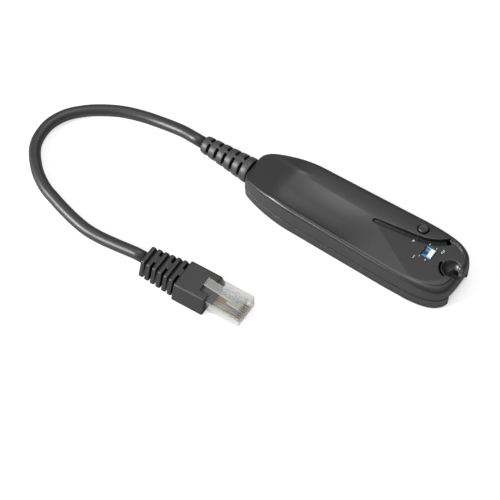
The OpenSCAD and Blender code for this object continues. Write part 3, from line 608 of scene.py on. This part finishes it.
def upper_block():
    """The top cover's outside: its side in rings, and a fine grid over the top from the last ring."""
    rings = wall_rings()
    rim = rings[-1]
    n = len(rim)
    half = n // 2
    grid_start = len(rings) * n
    rim_start = grid_start - n
    cols = rows_near + rows_far - 1
    verts = [p for ring in rings for p in ring]
    for i in range(1, half - 1):
        x, near_y = rim[i][:2]
        far_y = rim[n - 1 - i][1]
        ridge_y = min(far_ridge_y(x), far_y * ridge_limit)
        ys = [near_y + (ridge_y - near_y) * j / rows_near for j in range(1, rows_near + 1)]
        ys += [ridge_y + (far_y - ridge_y) * j / rows_far for j in range(1, rows_far)]
        verts += [(x, y, top_height(x, y)) for y in ys]

    def at(i, j):
        """The vertex in row i, counted from the tail, and column j, counted from the near rim."""
        if j == 0:
            return rim_start + i
        if j == cols + 1:
            return rim_start + n - 1 - i
        return grid_start + (i - 1) * cols + j - 1

    faces = ring_faces(len(rings), n)
    for i in range(1, half - 2):
        for j in range(cols + 1):
            faces.append((at(i, j), at(i + 1, j), at(i + 1, j + 1), at(i, j + 1)))
    faces.append(tuple([at(0, cols + 1), at(0, 0)] + [at(1, j) for j in range(cols + 2)]))
    faces.append(tuple([at(half - 1, 0), at(half - 1, cols + 1)]
                       + [at(half - 2, j) for j in range(cols + 1, -1, -1)]))
    faces.append(tuple(range(n - 1, -1, -1)))
    return part("top_shell", verts, faces)


def cavity():
    """The hollow inside, under a ceiling that follows the top."""
    x0 = tail_x + wall
    xs = [x0 + (nose_block_x - x0) * i / ceiling_n for i in range(ceiling_n + 1)]
    side_view = [(x0, 0)] + [(x, ceiling_z(x)) for x in xs] + [(nose_block_x, 0)]
    inside = prism(outline(cavity_inset), part_z - 1, above)
    return combine(inside, prism(side_view, -body_w, body_w, rot(x=90)), "INTERSECT")


def pocket_frame(depth):
    """The pocket's sloping floor as the plane Z = 0, sunk by a depth. X and Y stay the housing's."""
    return (move(pocket_x, pocket_y, pocket_z) @ rot(-pocket_fall_y, pocket_fall_x)
            @ move(-pocket_x, -pocket_y, -depth - face_drop))


def groove_frame(depth):
    """The same with its origin at the pocket's corner and X along the groove."""
    return pocket_frame(depth) @ move(pocket_x, pocket_y, 0) @ rot(z=groove_heading)


def pocket_cutter():
    """What is cut over the pocket's floor: the outline inside the rim, less what the groove bounds."""
    shape = prism(outline(rim_w), 0, cut_h, pocket_frame(0))
    at_tail = pocket_frame(0) @ move(pocket_x - 1, 0, 0)
    at_bend = groove_frame(0) @ move(groove_len, groove_r, 0) @ rot(z=groove_turn - 90)
    kept = (
        (rect(-beyond, -beyond / 2, 0, beyond / 2), at_tail),
        (rect(-tail_reach, 0, groove_len, beyond / 2), groove_frame(0)),
        (disc(groove_len, groove_r, groove_r, 160), groove_frame(0)),
        (rect(0, 0, groove_r, wing_reach), at_bend))
    for points, place in kept:
        combine(shape, prism(points, -1, cut_h + 1, place))
    return shape


def groove_cutter():
    """A round-ended groove along the wing's foot, straight and then bent toward the nose."""
    place = groove_frame(groove_d)
    line = prism(rect(0, -groove_w, groove_len, 0), 0, cut_h, place)
    combine(line, prism(disc(0, -groove_w / 2, groove_w / 2), 0, cut_h, place), "UNION")
    bend = arc_strip(groove_len, groove_r, groove_r, groove_r + groove_w, -90, groove_turn - 90)
    return combine(line, prism(bend, 0, cut_h, place), "UNION")


def neck_hole():
    return rod_x(tail_x - 1, hole_x0 + 1, 0, part_z, neck_hole_r)


def make_top_cover():
    top = upper_block()
    combine(top, cavity())
    for x in screw_xs:
        combine(top, prism(disc(x, 0, boss_r), post_z, ceiling_z(x) + roof_t / 2), "UNION")
    combine(top, pocket_cutter())
    combine(top, groove_cutter())
    combine(top, ball(dish_x, dish_y, dish_z, dish_r))
    combine(top, rod_x(dish_x, dish_x + saddle_l, dish_y, dish_z - saddle_drop, saddle_r))
    slot_r = dish_r + slot_gap
    combine(top, prism(arc_strip(dish_x, dish_y, slot_r, slot_r + slot_w, slot_from, slot_to),
                       droop(dish_x) - slot_d, dish_z + slot_h))
    combine(top, neck_hole())
    holes = [(lanyard_x, lanyard_y, lanyard_d / 2, high), (button_x, button_y, button_hole_r, high)]
    for x, y, r, z in holes + [(x, 0, pilot_r, pilot_top) for x in screw_xs]:
        combine(top, prism(disc(x, y, r), 0, z))
    combine(top, prism(centred(selector_x, selector_y, window_l, window_w), 0, high))
    remesh(top, housing_voxel)
    finish_piece(top, "housing", housing_black, "top_cover")


# ---------------------------------------------------------------- bottom cover


def lower_block():
    """The bottom cover's outside, with its rounded bottom edge."""
    seam = ((2 * hair, part_z), (hair, part_z - seam_lip))
    rings = [[(x, y, z) for x, y in outline(d)] for d, z in seam]
    for k in range(base_steps + 1):
        q = math.radians(90 * k / base_steps)
        rings.append([(x, y, base_r * (1 - math.sin(q)))
                      for x, y in outline(draft / 2 + base_r * (1 - math.cos(q)))])
    return loft("bottom_shell", rings)


def all_behind(x):
    """Everything from the tail up to x."""
    return prism(rect(-beyond, -beyond / 2, x, beyond / 2), low, high)


def wall_band(inset, z1):
    """A band inside the wall, up to z1, that stops short of the solid nose."""
    root_z = part_z - lip_root
    band = prism(outline(inset), root_z, z1)
    combine(band, prism(outline(cavity_inset + lip_gap + lip_t), root_z - 1, part_z + lip_h + 1))
    return combine(band, all_behind(nose_block_x - lip_gap), "INTERSECT")


def make_bottom_cover():
    bottom = lower_block()
    combine(bottom, combine(prism(outline(wall), wall, above), all_behind(nose_block_x), "INTERSECT"))
    combine(bottom, wall_band(cavity_inset + lip_gap, part_z + lip_h), "UNION")
    combine(bottom, wall_band(wall - band_lap, part_z - lip_gap), "UNION")
    posts = [(x, 0, boss_r) for x in screw_xs]
    posts += [(x, s * y, pillar_r) for x, y in pillars for s in (1, -1)]
    for x, y, r in posts:
        combine(bottom, prism(disc(x, y, r), wall - 1, board_z), "UNION")
    combine(bottom, neck_hole())
    combine(bottom, rod_x(hole_x0, hole_x0 + flange_hole_l, 0, part_z, flange_hole_r))
    for x in screw_xs:
        combine(bottom, prism(disc(x, 0, screw_head_r), -1, screw_seat))
        combine(bottom, prism(disc(x, 0, screw_hole_r), -1, above))
    combine(bottom, prism(rect(tip_x - notch_l, -notch_w / 2, tip_x + 1, notch_w / 2), -1, part_z + 2))
    remesh(bottom, housing_voxel)
    finish_piece(bottom, "housing", housing_black, "bottom_cover")


make_top_cover()
make_bottom_cover()

# ---------------------------------------------------------------- strain relief
relief_l, relief_d, relief_end_d, relief_yaw = 23.3, 10.8, 7.2, 2.3
relief_pitch, relief_slot, slot_n = 4, 1.2, 5
web_angle, web_turn, core_r, window_r = 16, 8, 2.1, 8
relief_gap, neck_root, cord_stub = 0.25, 0.6, 3
relief_place = move(tail_x - relief_gap, 0, part_z) @ rot(0, -90, -relief_yaw)
# Each ring between two slots swells by this much, on a curve of this power
swell, swell_power, swell_steps, almost = 0.26, 2.6, 12, 0.999
soft_voxel = 0.12


def turned(name, profile, matrix, n=120):
    """A solid turned about Z from points of radius and height."""
    return loft(name, [[(x, y, z) for x, y in disc(0, 0, r, n)] for r, z in profile], matrix)


def relief_profile(slots):
    """The taper, drawn in at every slot and at both ends."""
    stops = [0.0] + slots + [relief_l - relief_gap]
    profile = []
    for a, b in zip(stops, stops[1:]):
        for k in range(swell_steps + 1):
            # All but the last stretch end just short of the next one's start, so no two points coincide
            t = k / swell_steps if b == stops[-1] or k < swell_steps else almost
            h = a + (b - a) * t
            r = (relief_d + (relief_end_d - relief_d) * h / relief_l) / 2
            profile.append((r - swell * abs(2 * t - 1) ** swell_power, h))
    return profile


def make_relief():
    first_slot = (relief_l - (slot_n - 1) * relief_pitch) / 2
    slots = [first_slot + i * relief_pitch for i in range(slot_n)]
    relief = turned("strain_relief", relief_profile(slots), relief_place)
    for h in slots:
        for q in (0, 90, 180, 270):
            q0 = q + web_angle / 2 - web_turn
            window = arc_strip(0, 0, core_r, window_r, q0, q0 + 90 - web_angle)
            combine(relief, prism(window, h - relief_slot / 2, h + relief_slot / 2, relief_place))
    inner_x = flange_x + overlap
    for x0, x1, r in ((tail_x - neck_root, inner_x, neck_r), (flange_x, flange_x + flange_t, flange_r),
                      (inner_x, flange_x + flange_t + cord_stub, cord_d / 2)):
        combine(relief, rod_x(x0, x1, 0, part_z, r), "UNION")
    remesh(relief, soft_voxel, 3)
    finish_piece(relief, "housing", relief_black, "cord_relief")


make_relief()

# ---------------------------------------------------------------- plug sizes
plug_place = move(-41.7, -55.4, 0) @ rot(z=1.8)
boot_l, boot_w, boot_top_w, boot_h = 13.8, 17.2, 13.2, 8.0
boot_lean = boot_w - boot_top_w
comb_n, comb_w, comb_taper, comb_pitch, comb_plate, comb_gap = 6, 15.2, 0.5, 2.73, 1.8, 0.1
bridge_w, bridge_gap, bridge_overlap, bridge_inset, bridge_step = 3.2, 0.3, 0.3, 1.3, 1.2
sleeve_r, socket_l = 2.9, 20
boot_r, boot_edge, plate_edge, bridge_r = 1, 0.45, 0.4, 0.6
plug_w, plug_h, plug_l, plug_bare, plug_fit = 11.68, 6.6, 21.5, 14.7, 0.1
plug_r, plug_edge = 0.5, 0.4
latch_notch_l, latch_notch_w = 4, 6.6
# The latch's root: its width, where it starts and ends behind the front, its foot and its top
latch_root_w, root_from, root_to, root_foot, root_top = 6.2, 1.5, 0.5, 0.5, 1.05
channel_w, channel_h, channel_stop = 9.16, 2.2, 2.5
contact_n, contact_pitch, contact_slot_w, contact_slot_l = 8, 1.02, 0.6, 5.2
conductor_d, conductor_lift, conductor_start, conductor_stop = 0.95, 0.05, 0.1, 2.9
core_w, core_lift, core_h, core_bare = 7.8, 0.1, 1.9, 1.8
axis_z = boot_h / 2
plug_x0, plug_z0 = boot_l + plug_bare - plug_l, axis_z - plug_h / 2
front_x, plug_top_z, channel_z = plug_x0 + plug_l, plug_z0 + plug_h, plug_z0 + 1.6
contact_ys = [(i - (contact_n - 1) / 2) * contact_pitch for i in range(contact_n)]
end_steps, corner_steps, conductor_sides = 5, 6, 24
# At its ends a bar's corner radius shrinks by this share of the inset, down to the least one
corner_share, least_corner_r = 0.5, 0.1


def lean_bar(name, x0, x1, w, top_w, z0, z1, r, edge):
    """A bar along the plug with rounded corners and ends, narrower at its top."""
    turns = [math.radians(90 * k / end_steps) for k in range(end_steps + 1)]
    cuts = [(x0 + edge * (1 - math.cos(q)), edge * (1 - math.sin(q))) for q in turns]
    cuts += [(x0 + x1 - x, d) for x, d in reversed(cuts)]
    rings = []
    for x, d in cuts:
        q = max(least_corner_r, r - d * corner_share)
        corners = ((w / 2 - d - q, z0 + d + q, -90), (top_w / 2 - d - q, z1 - d - q, 0),
                   (q + d - top_w / 2, z1 - d - q, 90), (q + d - w / 2, z0 + d + q, 180))
        rings.append([(x, y, z) for cy, cz, c in corners
                      for y, z in arc(cy, cz, q, c, c + 90, corner_steps)])
    return loft(name, rings, plug_place)


def block(x0, x1, w, z0, z1, y=0):
    return prism(rect(x0, y - w / 2, x1, y + w / 2), z0, z1, plug_place)


def make_boot():
    boot = lean_bar("boot", 0, boot_l, boot_w, boot_top_w, 0, boot_h, boot_r, boot_edge)
    for i in range(comb_n):
        w = comb_w - i * comb_taper
        x0 = -(i + 1) * comb_pitch
        plate = lean_bar("plate", x0, x0 + comb_plate, w, w - boot_lean, comb_gap, boot_h - comb_gap,
                         boot_r, plate_edge)
        combine(boot, plate, "UNION")
        # In turn, a gap is bridged at the middle or over most of the plates' width
        b0, b1 = x0 + comb_plate - bridge_overlap, x0 + comb_pitch + bridge_overlap
        if i % 2:
            bridge = lean_bar("bridge", b0, b1, w - bridge_step, w - bridge_step - boot_lean,
                              bridge_inset, boot_h - bridge_inset, bridge_r, 0.0)
        else:
            bridge = block(b0, b1, bridge_w, bridge_gap, boot_h - bridge_gap)
        combine(boot, bridge, "UNION")
    combine(boot, rod_x(-comb_n * comb_pitch + 1, 1, 0, axis_z, sleeve_r, plug_place), "UNION")
    socket_w = plug_w + 2 * plug_fit
    socket = block(plug_x0, plug_x0 + socket_l, socket_w, plug_z0 - plug_fit, plug_top_z + plug_fit)
    combine(boot, socket)
    combine(boot, block(boot_l - latch_notch_l, boot_l + 6, latch_notch_w, axis_z, axis_z + 10))
    remesh(boot, soft_voxel, 3)
    return finish_piece(boot, "housing", boot_black, "plug_boot")


def make_plug_shell():
    shell = lean_bar("plug_shell", plug_x0, front_x, plug_w, plug_w, plug_z0, plug_top_z,
                     plug_r, plug_edge)
    latch_root = block(front_x - root_from, front_x - root_to, latch_root_w,
                       plug_top_z - root_foot, plug_top_z + root_top)
    combine(shell, latch_root, "UNION")
    channel = block(plug_x0 - 1, front_x - channel_stop, channel_w, channel_z, channel_z + channel_h)
    combine(shell, channel)
    for y in contact_ys:
        combine(shell, block(front_x - contact_slot_l, front_x + 0.8, contact_slot_w,
                             plug_z0 - 1, channel_z + overlap, y))
    finish_piece(shell, "housing", shell_clear, "plug_body")
    for f in shell.data.polygons:
        f.use_smooth = False
    return shell


def make_conductors():
    """Eight coloured conductors, and the end of the cord's dark core over them."""
    x0, r = plug_x0 + conductor_start, conductor_d / 2
    z = channel_z + conductor_lift + r
    rods = [rod_x(x0, front_x - conductor_stop, y, z, r, plug_place, conductor_sides) for y in contact_ys]
    rod_faces = len(rods[0].data.polygons)
    core = block(x0, boot_l + core_bare, core_w, channel_z + core_lift, channel_z + core_h)
    wires = join(rods + [core], "conductors")
    finish_piece(wires, "housing", wire_mats[0], "plug_wires")
    for mat in wire_mats[1:] + [chip_black]:
        wires.data.materials.append(mat)
    for f in wires.data.polygons:
        f.material_index = min(contact_n, f.index // rod_faces)
        f.use_smooth = len(f.vertices) == 4 and f.material_index < contact_n
    return wires


boot = make_boot()
shell = make_plug_shell()
wires = make_conductors()

# ---------------------------------------------------------------- marks on the label face
print_t, print_root, stroke = 0.03, 0.05, 0.25
tick_l, tick_w = 0.3, 0.7
tick_places = ((29.6, -1.6), (32.4, -1.9), (33.3, 5.2), (30.2, 5.4))
triangle = [(24.0, 2.5), (24.0, 3.7), (24.9, 3.1)]
# The strokes of a plain 1 and a plain 2, read from the near side: place, length and width
one_strokes = ((28.2, -3.2, 0.28, 1.5), (28.05, -2.65, 0.3, stroke))
two_strokes = ((36.0, 6.05, 0.9, stroke), (36.0, 5.35, 0.9, stroke), (36.0, 4.65, 0.9, stroke),
               (36.33, 5.7, stroke, 0.9), (35.67, 5.0, stroke, 0.9))


def label_z(x, y):
    return pocket_z - (x - pocket_x) * tan(pocket_fall_x) - (y - pocket_y) * tan(pocket_fall_y)


def mark(points):
    """A printed mark that stands just proud of the label face."""
    n = len(points)
    verts = [(x, y, label_z(x, y) + rise) for rise in (-print_root, print_t) for x, y in points]
    ends = [tuple(range(n)), tuple(range(n, 2 * n))]
    return part("mark", verts, ends + ring_faces(2, n))


def make_marks():
    bars = [(x, y, tick_l, tick_w) for x, y in tick_places] + [*one_strokes, *two_strokes]
    prints = [mark(triangle)] + [mark(centred(*bar)) for bar in bars]
    finish_piece(join(prints, "printed_marks"), "housing", print_white)


make_marks()

# ---------------------------------------------------------------- plain CAD nodes
cad_materials = {
    "housing_screws": steel, "circuit_board": board_green, "microcontroller": chip_black,
    "memory_chip": chip_black, "line_driver": chip_black, "regulator": chip_black, "crystal": steel,
    "capacitors": tan_ceramic, "lead_header": nylon, "lead_wires": wire_mats[1],
    "button_switch": chip_black, "switch_plunger": nylon, "start_button": button_black,
    "selector_switch": blue_plastic, "selector_knob": white_plastic, "plug_latch": latch_painted_light,
    "plug_contacts": gold}
for node, mat in cad_materials.items():
    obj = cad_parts[node]
    obj.data.materials.clear()
    obj.data.materials.append(mat)

# ---------------------------------------------------------------- light and floor
white = (1, 1, 1, 1)
sky_rise, sky_least = 0.55, 0.18
floor_color, floor_glow, floor_half = (0.62, 0.62, 0.62, 1), 0.66, 3
# From this place on toward the nose, the floor in openings narrower than the reach stays dark: painted
# shadow, where the floor's glow is taken away
hole_x, shadow_paint_reach, shadow_paint_dark, shadow_paint_clear = 30, 9, 0.25, 0.45


def seen_directly(tree):
    """1 for what the camera sees, also through clear plastic, and 0 for light and mirror images."""
    path = tree.nodes.new("ShaderNodeLightPath")
    return math_node(tree, "MAXIMUM", path.outputs["Is Camera Ray"], path.outputs["Is Transmission Ray"])


def make_world():
    """A pale sky that lights the object, brightest overhead. The camera sees plain white."""
    world = bpy.data.worlds.new("world")
    scene.world = world
    world.use_nodes = True
    tree = world.node_tree
    tree.nodes.clear()
    out = tree.nodes.new("ShaderNodeOutputWorld")
    sky = tree.nodes.new("ShaderNodeBackground")
    backdrop = tree.nodes.new("ShaderNodeBackground")
    mix = tree.nodes.new("ShaderNodeMixShader")
    where = tree.nodes.new("ShaderNodeTexCoord")
    axes = tree.nodes.new("ShaderNodeSeparateXYZ")
    tree.links.new(where.outputs["Generated"], axes.inputs[0])
    height = math_node(tree, "POWER", axes.outputs["Z"], 2.0)
    tree.links.new(math_node(tree, "MULTIPLY_ADD", height, sky_rise, sky_least), sky.inputs["Strength"])
    sky.inputs["Color"].default_value = white
    backdrop.inputs["Color"].default_value = white
    backdrop.inputs["Strength"].default_value = 1.0
    tree.links.new(seen_directly(tree), mix.inputs["Fac"])
    tree.links.new(sky.outputs[0], mix.inputs[1])
    tree.links.new(backdrop.outputs[0], mix.inputs[2])
    tree.links.new(mix.outputs[0], out.inputs["Surface"])


def lamp(name, where, size, power):
    """A rectangular lamp aimed at the origin, in metres and watts."""
    data = bpy.data.lights.new(name, "AREA")
    data.shape = "RECTANGLE"
    data.size, data.size_y = size
    data.energy = power
    obj = bpy.data.objects.new(name, data)
    scene.collection.objects.link(obj)
    obj.location = where
    obj.rotation_euler = (-Vector(where)).to_track_quat("-Z", "Y").to_euler()


def floor_material():
    """White to the camera, with the object's shadow, and dull grey to the light. The shadow is partly
    cast by the lamps and, toward the nose, partly painted into the glow.
    """
    mat = bpy.data.materials.new("floor_white")
    mat.use_nodes = True
    tree = mat.node_tree
    skin = tree.nodes["Principled BSDF"]
    skin.inputs["Base Color"].default_value = floor_color
    skin.inputs["Roughness"].default_value = 1.0
    skin.inputs["Specular IOR Level"].default_value = 0.0
    skin.inputs["Emission Color"].default_value = white
    # Painted shadow: toward the nose, the glow fades where the object closes the floor in
    around = tree.nodes.new("ShaderNodeAmbientOcclusion")
    around.samples = 8
    around.inputs["Distance"].default_value = shadow_paint_reach * MM
    lift = tree.nodes.new("ShaderNodeMapRange")
    lift.inputs["From Min"].default_value = shadow_paint_dark
    lift.inputs["From Max"].default_value = shadow_paint_clear
    lift.inputs["To Min"].default_value = 0.0
    lift.inputs["To Max"].default_value = floor_glow
    tree.links.new(around.outputs["AO"], lift.inputs["Value"])
    where = tree.nodes.new("ShaderNodeTexCoord")
    axes = tree.nodes.new("ShaderNodeSeparateXYZ")
    tree.links.new(where.outputs["Object"], axes.inputs[0])
    outside = math_node(tree, "LESS_THAN", axes.outputs["X"], hole_x * MM)
    plain = math_node(tree, "MULTIPLY", outside, floor_glow)
    glow = math_node(tree, "MAXIMUM", lift.outputs["Result"], plain)
    strength = math_node(tree, "MULTIPLY", glow, seen_directly(tree))
    tree.links.new(strength, skin.inputs["Emission Strength"])
    return mat


make_world()
lamp("near_low", (-0.51, -0.56, 0.36), (0.34, 0.24), 7.5)
lamp("overhead", (-0.08, 0.18, 0.78), (0.36, 0.34), 1.0)
floor_corners = centred(0, 0, 2 * floor_half, 2 * floor_half)
floor = part("floor", [(x, y, 0) for x, y in floor_corners], [(0, 1, 2, 3)])
floor.data.materials.append(floor_material())

scene.view_settings.view_transform = "Standard"
